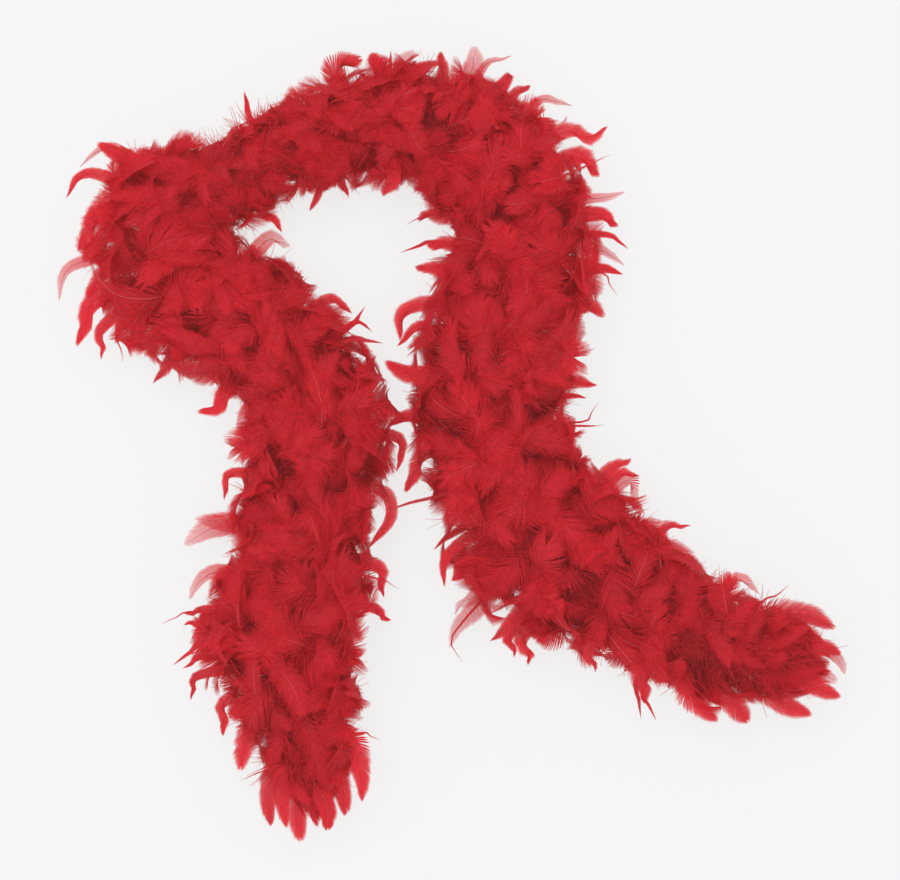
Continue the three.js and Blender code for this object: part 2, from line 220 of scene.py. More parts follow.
# The tufts that stand out of the outline, in millimetres: where each leaves the mass, a point on its
# way, its tip, how long its barbs are (short for a wisp), and 1 if its tip is thin enough to see through.
TUFTS = (
    # round the outside of the left corner
    ((-345, 268), (-378, 275), (-395, 251), 9, 0), ((-340, 301), (-366, 297), (-381, 283), 7, 1),
    ((-322, 284), (-343, 297), (-361, 307), 15, 0), ((-372, 187), (-397, 174), (-403, 147), 9, 1),
    ((-362, 148), (-374, 124), (-384, 102), 13, 0), ((-356, 122), (-360, 104), (-361, 87), 10, 0),
    ((-312, 128), (-322, 114), (-330, 98), 14, 0), ((-326, 130), (-338, 122), (-346, 104), 11, 0),
    ((-336, 108), (-336, 95), (-335, 82), 2, 0), ((-366, 139), (-375, 131), (-385, 127), 5, 0),
    ((-284, 92), (-293, 76), (-306, 61), 10, 0), ((-356, 232), (-372, 214), (-381, 199), 14, 0),
    ((-338, 252), (-362, 240), (-373, 224), 16, 0), ((-340, 215), (-360, 205), (-374, 188), 15, 0),
    ((-344, 180), (-362, 167), (-371, 150), 14, 0),
    # down the outside of the left leg
    ((-229, 57), (-238, 38), (-258, 31), 12, 0), ((-204, 37), (-213, 18), (-221, 6), 10, 1),
    ((-204, -8), (-220, -5), (-233, 0), 3, 0), ((-219, -32), (-229, -45), (-232, -59), 8, 0),
    ((-212, -88), (-246, -90), (-274, -106), 18, 1), ((-206, -88), (-236, -84), (-262, -80), 14, 1),
    ((-232, -134), (-256, -143), (-266, -160), 11, 1), ((-248, -172), (-262, -177), (-274, -176), 7, 0),
    ((-262, -176), (-281, -181), (-297, -188), 2, 0), ((-248, -203), (-268, -217), (-286, -231), 5, 0),
    ((-248, -194), (-264, -188), (-273, -190), 9, 0), ((-252, -222), (-265, -229), (-275, -234), 8, 0),
    ((-252, -238), (-262, -250), (-266, -264), 8, 0), ((-231, -268), (-234, -286), (-236, -304), 9, 0),
    # the left end
    ((-200, -285), (-212, -312), (-216, -335), 16, 0), ((-178, -330), (-186, -362), (-184, -392), 13, 0),
    ((-158, -345), (-159, -380), (-156, -411), 16, 0), ((-142, -345), (-127, -374), (-126, -398), 14, 0),
    ((-122, -335), (-112, -364), (-109, -386), 13, 0), ((-106, -304), (-92, -336), (-90, -366), 15, 0),
    ((-92, -300), (-82, -303), (-72, -307), 2, 0), ((-168, -335), (-172, -366), (-168, -392), 12, 0),
    # up the inside of the left leg
    ((-84, -172), (-72, -181), (-63, -185), 9, 0), ((-74, -141), (-62, -146), (-53, -151), 2, 0),
    ((-80, -128), (-73, -145), (-69, -160), 11, 0), ((-76, -48), (-62, -76), (-83, -109), 10, 0),
    ((-62, 6), (-51, -10), (-55, -30), 9, 0), ((-102, 48), (-90, 56), (-74, 62), 10, 1),
    ((-108, 103), (-88, 104), (-70, 101), 5, 0), ((-107, 117), (-92, 121), (-80, 113), 5, 0),
    ((-104, 118), (-95, 129), (-88, 139), 5, 0), ((-133, 144), (-115, 143), (-103, 134), 9, 0),
    ((-182, 182), (-166, 178), (-151, 169), 5, 0), ((-193, 204), (-179, 207), (-167, 202), 12, 1),
    ((-196, 240), (-185, 233), (-176, 219), 8, 0), ((-137, 274), (-137, 257), (-145, 241), 8, 0),
    ((-113, 270), (-108, 261), (-106, 255), 7, 0), ((-58, 271), (-64, 261), (-67, 253), 11, 0),
    # down the inside of the right leg
    ((2, 234), (-18, 236), (-31, 229), 12, 0), ((-20, 238), (-33, 232), (-45, 225), 2, 0),
    ((2, 204), (-10, 203), (-22, 204), 12, 0), ((-12, 207), (-32, 203), (-51, 197), 4, 0),
    ((-8, 175), (-22, 177), (-34, 180), 12, 0), ((-8, 142), (-46, 136), (-52, 108), 12, 0),
    ((4, 100), (-28, 118), (-53, 99), 9, 0), ((-14, 68), (-42, 70), (-63, 80), 15, 0),
    ((-10, 22), (-40, 26), (-64, 17), 12, 0), ((-8, -55), (-40, -63), (-69, -73), 3, 0),
    ((-20, -10), (-36, -32), (-46, -50), 12, 0), ((8, -93), (-6, -102), (-16, -112), 6, 0),
    ((40, -122), (22, -130), (4, -142), 14, 0), ((86, -168), (90, -188), (96, -206), 15, 0),
    ((12, -103), (-5, -122), (-6, -147), 9, 0), ((28, -158), (14, -166), (6, -178), 12, 1),
    ((34, -166), (12, -188), (0, -212), 15, 1), ((14, -186), (1, -208), (13, -229), 2, 0),
    ((62, -184), (52, -196), (43, -203), 11, 0), ((64, -196), (66, -210), (66, -221), 11, 0),
    ((78, -198), (81, -214), (81, -229), 13, 0), ((143, -212), (147, -224), (148, -233), 9, 0),
    ((196, -232), (199, -250), (200, -266), 13, 0), ((193, -242), (194, -265), (196, -284), 4, 0),
    ((199, -252), (204, -270), (211, -285), 4, 0), ((243, -250), (257, -272), (274, -287), 15, 0),
    ((278, -246), (292, -270), (307, -288), 17, 0),
    # the right end
    ((314, -244), (343, -270), (372, -283), 15, 0), ((340, -236), (372, -250), (400, -262), 14, 0),
    ((368, -236), (384, -241), (398, -247), 10, 1), ((376, -214), (395, -221), (403, -236), 10, 1),
    ((356, -212), (380, -211), (399, -217), 12, 0), ((320, -182), (360, -178), (392, -190), 17, 0),
    ((318, -166), (334, -158), (347, -147), 2, 0), ((288, -146), (304, -145), (318, -157), 9, 1),
    # up the outside of the right leg
    ((218, -94), (234, -88), (247, -87), 8, 0), ((196, -88), (213, -84), (227, -81), 7, 1),
    ((178, -42), (190, -57), (199, -72), 10, 1), ((162, -32), (177, -25), (186, -18), 12, 0),
    ((168, -38), (183, -35), (194, -35), 10, 0), ((135, 16), (148, 16), (159, 17), 2, 0),
    ((135, 20), (146, 31), (154, 40), 2, 0), ((122, 47), (133, 46), (141, 45), 6, 0),
    ((124, 62), (140, 60), (151, 59), 12, 0), ((115, 145), (138, 143), (156, 132), 15, 0),
    ((155, 176), (165, 163), (173, 152), 2, 0), ((140, 182), (160, 180), (178, 174), 10, 0),
    ((146, 200), (168, 192), (180, 183), 8, 1), ((156, 214), (172, 208), (183, 200), 6, 0),
    ((148, 236), (162, 230), (172, 225), 12, 0), ((136, 249), (160, 252), (179, 257), 8, 1),
    ((126, 292), (142, 285), (151, 275), 15, 0), ((143, 284), (154, 290), (164, 293), 2, 0),
    ((116, 320), (142, 314), (161, 325), 12, 0), ((106, 322), (117, 330), (121, 338), 8, 1),
    ((86, 346), (108, 347), (125, 344), 7, 1), ((62, 354), (74, 362), (82, 368), 9, 0),
    # over the neck
    ((50, 362), (58, 373), (62, 379), 12, 0), ((34, 386), (50, 395), (64, 400), 6, 1),
    ((22, 380), (24, 394), (27, 404), 15, 1), ((-8, 376), (-9, 390), (-10, 400), 9, 0),
    ((-50, 380), (-44, 393), (-38, 399), 12, 1), ((-62, 380), (-62, 392), (-61, 403), 4, 0),
    ((-72, 376), (-77, 391), (-82, 401), 12, 0), ((-112, 362), (-119, 385), (-96, 397), 16, 0),
    ((-206, 333), (-209, 346), (-211, 358), 5, 0), ((-268, 284), (-276, 297), (-282, 307), 13, 0),
)

SUNK_REACH = 0.6  # the share of its full reach that a feather over a hollow keeps
HIGH_ABOVE_CORE = 0.012  # where a feather counts as one of the top ones
# Where the top feathers part and show the down between them, in millimetres: x, y and radius.
HOLLOWS = (
    (-20, 335, 16), (-166, 270, 6), (-215, 292, 6), (-268, 253, 7), (-232, 243, 8), (-318, 215, 5),
    (-310, 150, 5), (-220, 117, 9), (-95, 285, 9), (-42, 305, 5), (45, 232, 6), (85, 207, 8), (45, 150, 9),
    (55, 25, 6), (85, -15, 6), (50, -32, 6), (110, -65, 5), (92, -100, 6), (75, -140, 10), (140, -163, 7),
    (135, -185, 12), (180, -138, 10), (158, -150, 6), (252, -200, 9), (230, -172, 7), (262, -152, 6),
    (232, -218, 6), (255, -245, 8), (290, -250, 8), (310, -257, 8), (350, -222, 6), (-150, -88, 8),
    (-170, -25, 8), (-120, -45, 6), (-185, -65, 5), (-175, -120, 5), (-195, -185, 7), (-190, -228, 7),
    (-208, -262, 7), (-168, -262, 5), (-118, -235, 6), (-200, -300, 9), (-190, -325, 8), (-175, -352, 9),
    (-145, -350, 8),
)

CAMERA_HEIGHT = 2.6
VIEW_WIDTH = 0.9315  # what the picture's width takes in, at the core's height
SENSOR_WIDTH = 36.0  # millimetres
VIEW_CENTRE = (0.0, 0.0015)
FLOOR_HALF = 6.0
SKY_STRENGTH = 0.88
KEY_PLACE = (-0.5, 0.7, 2.8)
KEY_SIZE = 2.0
KEY_POWER = 34

UP = np.array([0.0, 0.0, 1.0])

# ---------- the core's route

SPAN_STEPS = 40


def catmull_rom(points, steps=SPAN_STEPS):
    """A smooth curve through the points, as densely sampled points."""
    p = np.vstack([2 * points[0] - points[1], points, 2 * points[-1] - points[-2]])
    t = (np.arange(steps) / steps)[:, None]
    out = []
    for a, b, c, d in zip(p, p[1:], p[2:], p[3:]):
        out.append(0.5 * (2 * b + (c - a) * t + (2 * a - 5 * b + 4 * c - d) * t**2
                          + (3 * b - a - 3 * c + d) * t**3))
    return np.vstack([*out, points[-1:]])


CURVE = catmull_rom(np.array([(x, y, CORE_HEIGHT) for x, y in ROUTE_XY]))
CURVE_AT = np.concatenate([[0], np.cumsum(np.linalg.norm(np.diff(CURVE, axis=0), axis=1))])
CURVE_ALONG = np.gradient(CURVE, CURVE_AT, axis=0)
ROUTE_LENGTH = CURVE_AT[-1]
LENGTH_STEP = ROUTE_LENGTH / LENGTHS
CURVE_TURN = np.gradient(np.unwrap(np.arctan2(CURVE_ALONG[:, 1], CURVE_ALONG[:, 0])), CURVE_AT)
SMOOTHING = np.full(SPAN_STEPS + 1, 1 / (SPAN_STEPS + 1))
CURVE_TURN = np.convolve(CURVE_TURN, SMOOTHING, "same")  # radians per metre, to the left


def unit(v):
    """The vectors' directions, as vectors of length 1."""
    return v / np.maximum(np.linalg.norm(v, axis=-1, keepdims=True), 1e-12)


def frames(distance):
    """The core's point, its direction and the direction to its left, at distances from the left end."""
    inside = np.clip(distance, 0, ROUTE_LENGTH)
    along = unit(np.stack([np.interp(inside, CURVE_AT, CURVE_ALONG[:, k]) for k in range(3)], -1))
    point = np.stack([np.interp(inside, CURVE_AT, CURVE[:, k]) for k in range(3)], -1)
    point = point + along * (distance - inside)[..., None]
    return point, along, np.cross(UP, along)


def envelope(distance, angle):
    """How far from the core the boa's outline is. Angle 0 is to the left and a quarter turn is up."""
    stations = np.linspace(0, ROUTE_LENGTH, len(SIDE_REACH))
    outside, inside = (np.interp(distance, stations, [r[k] for r in SIDE_REACH]) for k in (0, 1))
    side = np.where(np.cos(angle) > 0, outside, inside)
    top = TOP_REACH_SHARE * (outside + inside) / 2
    beyond = np.maximum(np.maximum(-distance, distance - ROUTE_LENGTH), 0)
    drawn_in = np.maximum(1 - beyond / END_CLOSES_IN, LEAST_DRAWN_IN)
    return drawn_in / np.sqrt((np.cos(angle) / side) ** 2 + (np.sin(angle) / top) ** 2)


def around(distance, radius, angle):
    """Points at polar coordinates round the core, and the way out from the core at each of them."""
    point, _, left = frames(distance)
    out = left * np.cos(angle)[..., None] + UP * np.sin(angle)[..., None]
    return point + out * radius[..., None], out


# ---------- building meshes from strips

PLACE_SHAPE = 7  # how many times longer than wide a strip's place in the bake layout is
PLACE_ALONG = (0.04, 0.96)  # the part of its place that a strip fills
PLACE_ACROSS = (0.12, 0.88)


def add_object(name, data):
    """A new object in the scene."""
    made = bpy.data.objects.new(name, data)
    bpy.context.scene.collection.objects.link(made)
    return made


class Pile:
    """Strips of quads that build up into one mesh. A strip is rows by columns of points."""

    def __init__(self):
        self.points, self.quads, self.fibre_uv, self.bake_size, self.values = [], [], [], [], []
        self.count = 0

    def add(self, points, fibre_uv, tone, depth, quill):
        strips, rows, columns, _ = points.shape
        shape = points.shape[:3]
        index = self.count + np.arange(strips * rows * columns).reshape(shape)
        quads = np.stack([index[:, :-1, :-1], index[:, :-1, 1:], index[:, 1:, 1:], index[:, 1:, :-1]], -1)
        self.points.append(points.reshape(-1, 3))
        self.quads.append(quads.reshape(-1, 4))
        self.fibre_uv.append(np.broadcast_to(fibre_uv, (*shape, 2)).reshape(-1, 2))
        self.bake_size.append(shape)
        self.values.append(np.stack([np.broadcast_to(v, shape).ravel() for v in (tone, depth, quill)], -1))
        self.count += index.size

    def bake_uv(self):
        """A place of its own for every strip, in rows and columns that fill the unit square."""
        strips = sum(s for s, _, _ in self.bake_size)
        across = max(1, round(math.sqrt(strips / PLACE_SHAPE)))
        down = math.ceil(strips / across)
        places, first = [], 0
        for count, rows, columns in self.bake_size:
            number = (first + np.arange(count))[:, None, None]
            u = (number % across + np.linspace(*PLACE_ALONG, rows)[None, :, None]) / across
            v = (number // across + np.linspace(*PLACE_ACROSS, columns)[None, None, :]) / down
            places.append(np.stack(np.broadcast_arrays(u, v), -1).reshape(-1, 2))
            first += count
        return np.vstack(places)

    def mesh(self, name, material):
        points, quads = np.vstack(self.points), np.vstack(self.quads)
        mesh = bpy.data.meshes.new(name)
        mesh.vertices.add(len(points))
        mesh.vertices.foreach_set("co", points.astype(np.float32).ravel())
        mesh.loops.add(quads.size)
        mesh.loops.foreach_set("vertex_index", quads.astype(np.int32).ravel())
        mesh.polygons.add(len(quads))
        mesh.polygons.foreach_set("loop_start", np.arange(0, quads.size, 4, dtype=np.int32))
        corner = quads.ravel()
        for layer, uv in (("OFBake", self.bake_uv()), ("Fibres", np.vstack(self.fibre_uv))):
            mesh.uv_layers.new(name=layer).data.foreach_set("uv", uv[corner].astype(np.float32).ravel())
        values = np.vstack(self.values)
        # tone is the dye, and 0 on sunk feathers as painted shade; depth sets the painted shade deep in the
        # boa
        for column, attribute in enumerate(("tone", "depth", "quill")):
            data = mesh.attributes.new(attribute, "FLOAT", "POINT").data
            data.foreach_set("value", values[:, column].astype(np.float32))
        mesh.update(calc_edges=True)
        mesh.shade_smooth()
        mesh.materials.append(material)
        return add_object(name, mesh)


# ---------- where each feather lies


def scattered_feathers(rng, first, last, count):
    """Where count feathers grow between two distances along the boa, and how each of them lies."""
    n = np.arange(count)
    distance = first + (n + rng.random(count)) / count * (last - first)
    angle = GOLDEN_ANGLE * n + rng.normal(0, ANGLE_SPREAD, count) + rng.random() * FIRST_ANGLE_RANGE
    # fewer of them point straight down, where the boa rests on the surface
    low = np.sin(angle) < STEEPLY_DOWN
    angle = np.where(low & (rng.random(count) < TURNED_UP_SHARE), -angle, angle)
    lot = rng.random(count)
    sideways = np.abs(np.cos(angle)) > SIDEWAYS_COSINE
    proud = (lot < PROUD_BELOW) & (np.sin(angle) > PROUD_SINE)
    jutting = (lot < JUTTING_BELOW) & sideways
    under = lot > UNDER_ABOVE
    near_end = np.clip(1 - np.minimum(distance, ROUTE_LENGTH - distance) / END_ZONE, 0, 1)
    left_half = distance < ROUTE_LENGTH / 2
    outward = np.where(left_half, np.pi, 0.0)
    end_trim = np.where(left_half, LEFT_END_TRIM, RIGHT_END_TRIM)
    free = rng.random(count) * 2 * np.pi
    # some of the feathers at an end fill its inside, and point away along the boa
    inner = np.clip(2 * rng.random(count) - 1, 0, 1) * near_end
    narrower = np.clip(envelope(distance, angle) / FULL_WIDTH_REACH, LEAST_WIDTH_SHARE, 1)
    return {
        "distance": distance,
        "angle": angle,
        "heading": np.where(near_end > rng.random(count) * ALL_TURNED,
                            outward + rng.normal(0, HEADING_SPREAD, count), free),
        "curl": rng.normal(0, CURL_SPREAD, count),
        "rise": np.where(proud | jutting, rng.uniform(*STEEP_RISE, count), rng.uniform(*RISE, count)),
        "reach": (1 - INNER_DRAWN_IN * inner) * np.select(
            (proud, under), (rng.uniform(*PROUD_REACH, count), rng.uniform(*UNDER_REACH, count)),
            rng.uniform(*REACH, count)),
        "sweep": rng.uniform(*SWEEP, count) * (1 - end_trim * near_end)
        * np.where(jutting, JUTTING_SWEEP_SHARE, 1),
        "width": rng.uniform(*WIDTH, count) * (1 - END_NARROWER * near_end) * narrower,
        "sheer": np.where(rng.random(count) < SHEER_SHARE, rng.random(count), 0),
        "soft": rng.uniform(*SOFT, count) * (1 - END_FIRMER * near_end)
        * np.where(sideways, SIDE_SOFT_SHARE, 1),
        "pointed": rng.random(count),
        "roll": rng.normal(0, ROLL_SPREAD, count),
        "cup": rng.uniform(*CUP, count),
        "tone": rng.uniform(*TONE, count),
        "quill": np.where(rng.random(count) < PALE_QUILL_SHARE, PALE_QUILL, PLAIN_QUILL),
    }


def above_surface(points):
    """Presses whatever would go through the surface gently flat against it."""
    z = (points[..., 2] - FLOOR_CLEARANCE) / PRESSED_OVER
    points[..., 2] = FLOOR_CLEARANCE + PRESSED_OVER * np.logaddexp(0, z)
    return points


def scattered_rachises(f):
    """Each scattered feather's rachis: it leaves the core outward and bends over along the outline."""
    t = np.linspace(0, 1, RACHIS_STATIONS)[None, :]
    column = {k: v[:, None] for k, v in f.items()}
    mean_radius = envelope(column["distance"], column["angle"])
    # round the outside of a bend a step along the core takes a feather further than its own length
    turn = np.interp(column["distance"], CURVE_AT, CURVE_TURN)
    stretch = np.maximum(1 - turn * mean_radius * np.cos(column["angle"]), 1)
    travelled = column["sweep"] * t**SWEEP_POWER
    step = np.diff(travelled, axis=1, prepend=0)
    heading = column["heading"] + column["curl"] * (t - CURL_PIVOT)
    distance = column["distance"] + np.cumsum(step * np.cos(heading), axis=1) / stretch
    turned = np.cumsum(step * np.sin(heading), axis=1) / np.maximum(mean_radius, LEAST_TURNING_RADIUS)
    angle = column["angle"] + turned
    reach = column["reach"] * envelope(distance, angle)
    radius = ROOT_RADIUS + (reach - ROOT_RADIUS) * (1 - (1 - t) ** column["rise"])
    return around(distance, radius, angle)


def over_hollows(f, points):
    """Which feathers lie over a hollow near the boa's top."""
    web = points[:, RACHIS_STATIONS // 3:]  # the part of a rachis that holds the web
    high = web[..., 2] > CORE_HEIGHT + HIGH_ABOVE_CORE
    over = np.zeros(web.shape[:2], bool)
    for x, y, radius in np.array(HOLLOWS) / 1000:
        over |= np.linalg.norm(web[..., :2] - (x, y), axis=-1) < radius
    return (over & high).any(axis=1) & (f["reach"] > SUNK_REACH)


def with_axes(points, outward, roll):
    """Rachises as points, with their directions, their faces' normals and their widths' directions."""
    points = above_surface(points)
    along = unit(np.gradient(points, axis=1))
    normal = unit(outward - (outward * along).sum(-1, keepdims=True) * along)
    across = np.cross(along, normal)
    roll = roll[:, None, None]
    face = normal * np.cos(roll) + across * np.sin(roll)
    return points, along, face, np.cross(along, face)


def tuft_feathers(rng, first, last):
    """The listed tufts that grow between two distances along the boa, and their rachises' points."""
    chosen, paths = [], []
    for *places, barb, sheer in TUFTS:
        places = np.array(places) / 1000
        nearest = np.argmin(np.linalg.norm(CURVE[:, :2] - places[0], axis=1))
        distance = np.clip(CURVE_AT[nearest], 2 * BARE_END, ROUTE_LENGTH - 2 * BARE_END)
        if first <= distance < last:
            heights = CORE_HEIGHT + rng.uniform(*TUFT_RISE) + rng.uniform(*TUFT_WANDER, 3)
            way = catmull_rom(np.vstack([CURVE[nearest], np.column_stack([places, heights])]))
            far = np.concatenate([[0], np.cumsum(np.linalg.norm(np.diff(way, axis=0), axis=1))])
            even = np.linspace(0, far[-1], RACHIS_STATIONS)
            paths.append(np.stack([np.interp(even, far, way[:, k]) for k in range(3)], -1))
            chosen.append((barb / 1000, sheer))
    count = len(chosen)
    width, sheer = np.array(chosen).T
    feathers = {
        "width": width,
        "sheer": sheer,
        "soft": rng.uniform(*TUFT_SOFT, count),
        "pointed": rng.uniform(*TUFT_POINTED, count),
        "roll": rng.normal(0, TUFT_ROLL_SPREAD, count),
        "cup": rng.uniform(*TUFT_CUP, count),
        "tone": rng.uniform(*TUFT_TONE, count),
        "quill": rng.uniform(*TUFT_QUILL, count),
    }
    return feathers, np.array(paths)


def at_share(values, share):
    """Station values (feather, station, 3) read at shares (feather, barb) of each rachis."""
    place = np.clip(share, 0, 1) * (RACHIS_STATIONS - 1)
    low = np.minimum(place.astype(int), RACHIS_STATIONS - 2)
    part = (place - low)[..., None]
    row = np.arange(values.shape[0])[:, None]
    return values[row, low] * (1 - part) + values[row, low + 1] * part


def smooth_noise(rng, shape):
    """Random numbers that change little from one to the next."""
    noise = rng.normal(0, 1, shape)
    for _ in range(NOISE_PASSES):
        noise = (np.roll(noise, 1, -1) + noise * 2 + np.roll(noise, -1, -1)) / 4
    return noise


# ---------- the parts of a feather


def add_rachises(pile, f, path):
    """The feathers' rachises: thin tubes with three sides."""
    points, _, face, across = path
    t = np.linspace(0, 1, RACHIS_STATIONS)[None, :, None]
    radius = (RACHIS_ROOT_EXTRA * (1 - t) ** RACHIS_TAPER_POWER + RACHIS_TIP_RADIUS)[..., None]
    turn = np.linspace(0.5, 2.5, 4) * np.pi
    ring = face[:, :, None] * np.sin(turn)[:, None] + across[:, :, None] * np.cos(turn)[:, None]
    tube = points[:, :, None] + ring * radius
    uv = np.stack(np.broadcast_arrays(t * RACHIS_STREAKS, np.zeros((len(points), 1, len(turn)))), -1)
    pile.add(tube, uv, f["tone"][:, None, None], t, f["quill"][:, None, None])


def ribbons(base, forward, sideways, half_width, bend):
    """Tapering ribbons, (feather, ribbon, row, 2, 3), from base points along forward, bending with bend."""
    v = np.linspace(0, 1, bend.shape[2])[None, None, :, None]
    centre = base[:, :, None] + forward[:, :, None] * v + bend
    offset = sideways[:, :, None] * half_width[..., None]
    return np.stack([centre - offset, centre + offset], axis=3)


def joined_barbs(centre, widest, closed):
    """Barbs as ribbons round their centrelines. Neighbours share an edge where closed is 1."""
    middle = (centre[:, :-1] + centre[:, 1:]) / 2
    before = np.concatenate([2 * centre[:, :1] - middle[:, :1], middle], axis=1) - centre
    after = np.concatenate([middle, 2 * centre[:, -1:] - middle[:, -1:]], axis=1) - centre
    edges = np.stack([before, after], axis=3)
    far = np.linalg.norm(edges, axis=-1, keepdims=True)
    edges *= np.minimum(1, widest[:, None, None, None, None] / np.maximum(far, 1e-9))
    return centre[:, :, :, None] + edges * closed[..., None, None]


def web_barbs(rng, f, x, fluff):
    """How long a web's barbs are, how far they lean from the rachis and how steeply they rise."""
    width, pointed, soft = (f[key][:, None] for key in ("width", "pointed", "soft"))
    # barbs are longest in the lower half, and the last ones lie along the rachis and close the tip
    taper = TIP_TAPER + POINTED_TIP_TAPER * pointed
    outline = LOWEST_BARB + BARB_GROWTH * x - BARB_FALL * x**2 - taper * x**5
    uneven = ((UNEVEN_LENGTH + SOFT_UNEVEN_LENGTH * soft) * rng.normal(0, 1, x.shape)
              + STRAY * fluff * rng.random(x.shape))
    # now and then the web splits, and the barbs on the two sides of the split lean apart
    split = rng.random(x.shape) < SPLIT_CHANCE
    splits = np.cumsum(np.where(split, rng.normal(0, SPLIT_LEAN, x.shape), 0), axis=1)
    lean = LOWEST_LEAN - LEAN_FALL * x - (TIP_LEAN_FALL + POINTED_LEAN_FALL * pointed) * x**4
    lean = lean + splits - splits.mean(axis=1, keepdims=True)
    lean += ((UNEVEN_LEAN + SOFT_UNEVEN_LEAN * soft) * smooth_noise(rng, x.shape)
             + STRAY * fluff * rng.normal(0, 1, x.shape))
    rise = UNEVEN_RISE * smooth_noise(rng, x.shape) + STRAY * fluff * rng.normal(0, 1, x.shape)
    return width * outline * (1 + uneven), np.clip(lean, *LEAN_LIMITS), rise


def add_web(pile, rng, f, path):
    """The two webs of barbs that make the feather's vane."""
    count = len(path[0])
    web_length = (1 - WEB_START) * np.linalg.norm(np.diff(path[0], axis=1), axis=-1).sum(axis=1)
    sheer, soft, cup = (f[key][:, None] for key in ("sheer", "soft", "cup"))
    v = np.array(BARB_SHARES)
    number = (np.arange(BARBS_PER_SIDE) + 0.5)[None, :]
    x = np.broadcast_to(number / BARBS_PER_SIDE, (count, BARBS_PER_SIDE))
    share = WEB_START + (1 - WEB_START) * x
    fluff = (LEAST_FLUFF + (1 - LEAST_FLUFF) * soft) * (1 - x) ** 3
    base, a, n, b = (at_share(values, share) for values in path)
    for side in (-1, 1):
        reach, lean, rise = (value[..., None] for value in web_barbs(rng, f, x, fluff))
        forward = a * np.cos(lean) + side * b * np.sin(lean) + n * rise
        bend = BARB_BEND * a - cup[..., None] * n
        centre = base[:, :, None] + reach[..., None] * (
            forward[:, :, None] * v[:, None] + bend[:, :, None] * v[:, None] ** 2)
        ends = soft * SOFT_BARB_CLOSED + (1 - soft) * BARB_CLOSED
        closed = (1 - SHEER_OPENS * sheer * x**1.5 - FLUFF_OPENS * fluff)[..., None] * ends[:, None]
        strips = joined_barbs(centre, WIDEST_BARB * web_length / BARBS_PER_SIDE, closed)
        whole = strips.shape[:-1]
        shape = (count * BARBS_PER_SIDE, len(v), 2)
        uv_x = (number + side * BARB_SIDES_APART)[..., None, None] + np.array([0, 1.0])
        uv_x = np.broadcast_to(uv_x, whole) + (np.arange(count) * FEATHERS_APART)[:, None, None, None]
        uv = np.stack(np.broadcast_arrays(uv_x, v[None, None, :, None]), -1).reshape(*shape, 2)
        uneven = UNEVEN_TONE * smooth_noise(rng, x.shape)[..., None, None]
        tone = np.broadcast_to(f["tone"][:, None, None, None] + uneven, whole).reshape(shape)
        depth = (share * WEB_DEPTH)[..., None, None] + (1 - WEB_DEPTH) * v[None, None, :, None]
        depth = np.broadcast_to(depth, whole).reshape(shape)
        pile.add(above_surface(strips).reshape(*shape, 3), uv, tone, depth, 0.0)


def add_down(pile, rng, f, path):
    """Loose curly down round the lower part of each rachis."""
    count = len(path[0])
    shape = (count, DOWN_PER_FEATHER)
    share = rng.uniform(DOWN_FROM, WEB_START + DOWN_ABOVE_WEB_START, shape)
    base, a, n, b = (at_share(values, share) for values in path)
    turn = (rng.random(shape) * 2 * np.pi)[..., None]
    side = b * np.cos(turn) + n * np.sin(turn) * DOWN_FLATTENED
    reach = rng.uniform(*DOWN_REACH, shape)[..., None]
    forward = unit(side + a * rng.uniform(*DOWN_ALONG, shape)[..., None]) * reach
    sideways = unit(np.cross(forward, n + DOWN_TILT * b))
    v = np.linspace(0, 1, DOWN_ROWS)
    curl = np.cross(unit(forward), sideways)
    waves = v * rng.uniform(*DOWN_WAVES, shape)[..., None]
    wave = np.sin(waves + rng.random(shape)[..., None] * DOWN_FIRST_WAVE_RANGE)
    bend = curl[:, :, None] * wave[..., None] * DOWN_WAVE_DEPTH + a[:, :, None] * v[:, None] ** 2 * DOWN_BEND
    half_width = DOWN_HALF_WIDTH * (1 - DOWN_TAPER * v) * np.ones(shape)[..., None]
    strips = ribbons(base, forward, sideways, half_width, bend)
    whole = strips.shape[:-1]
    flat = (count * DOWN_PER_FEATHER, DOWN_ROWS, 2)
    uv_y = v[None, None, :, None] * DOWN_STREAK_LENGTH + np.zeros((1, 1, 1, 2))
    uv = np.stack(np.broadcast_arrays((share * DOWN_STREAKS)[..., None, None], uv_y), -1)
    tone = np.broadcast_to(f["tone"][:, None, None, None] - DOWN_DARKER, whole).reshape(flat)
    depth = np.broadcast_to((share * DOWN_DEPTH)[..., None, None], whole).reshape(flat)
    pile.add(above_surface(strips).reshape(*flat, 3), uv.reshape(*flat, 2), tone, depth, 0.0)


def feather_piece(rng, name, first, last, filling, material):
    """All the feathers that grow between two distances along the boa."""
    count = round(FEATHERS_PER_LENGTH * filling * (last - first) / LENGTH_STEP)
    scattered = scattered_feathers(rng, first, last, count)
    points, outward = scattered_rachises(scattered)
    sunk = over_hollows(scattered, points)
    scattered["reach"] = np.where(sunk, SUNK_REACH, scattered["reach"])
    # a feather sunk in a hollow gets the darkest tone: painted shade, where the hollow lies in shadow
    scattered["tone"] = np.where(sunk, 0, scattered["tone"])
    points, outward = scattered_rachises(scattered)
    tufts, tuft_points = tuft_feathers(rng, first, last)
    feathers = {key: np.concatenate([scattered[key], tufts[key]]) for key in tufts}
    outward = np.concatenate([outward, np.broadcast_to(UP, tuft_points.shape)])
    path = with_axes(np.concatenate([points, tuft_points]), outward, feathers["roll"])
    pile = Pile()
    add_rachises(pile, feathers, path)
    add_web(pile, rng, feathers, path)
    add_down(pile, rng, feathers, path)
    return pile.mesh(name, material)


# ---------- strings, thread, knots and tails


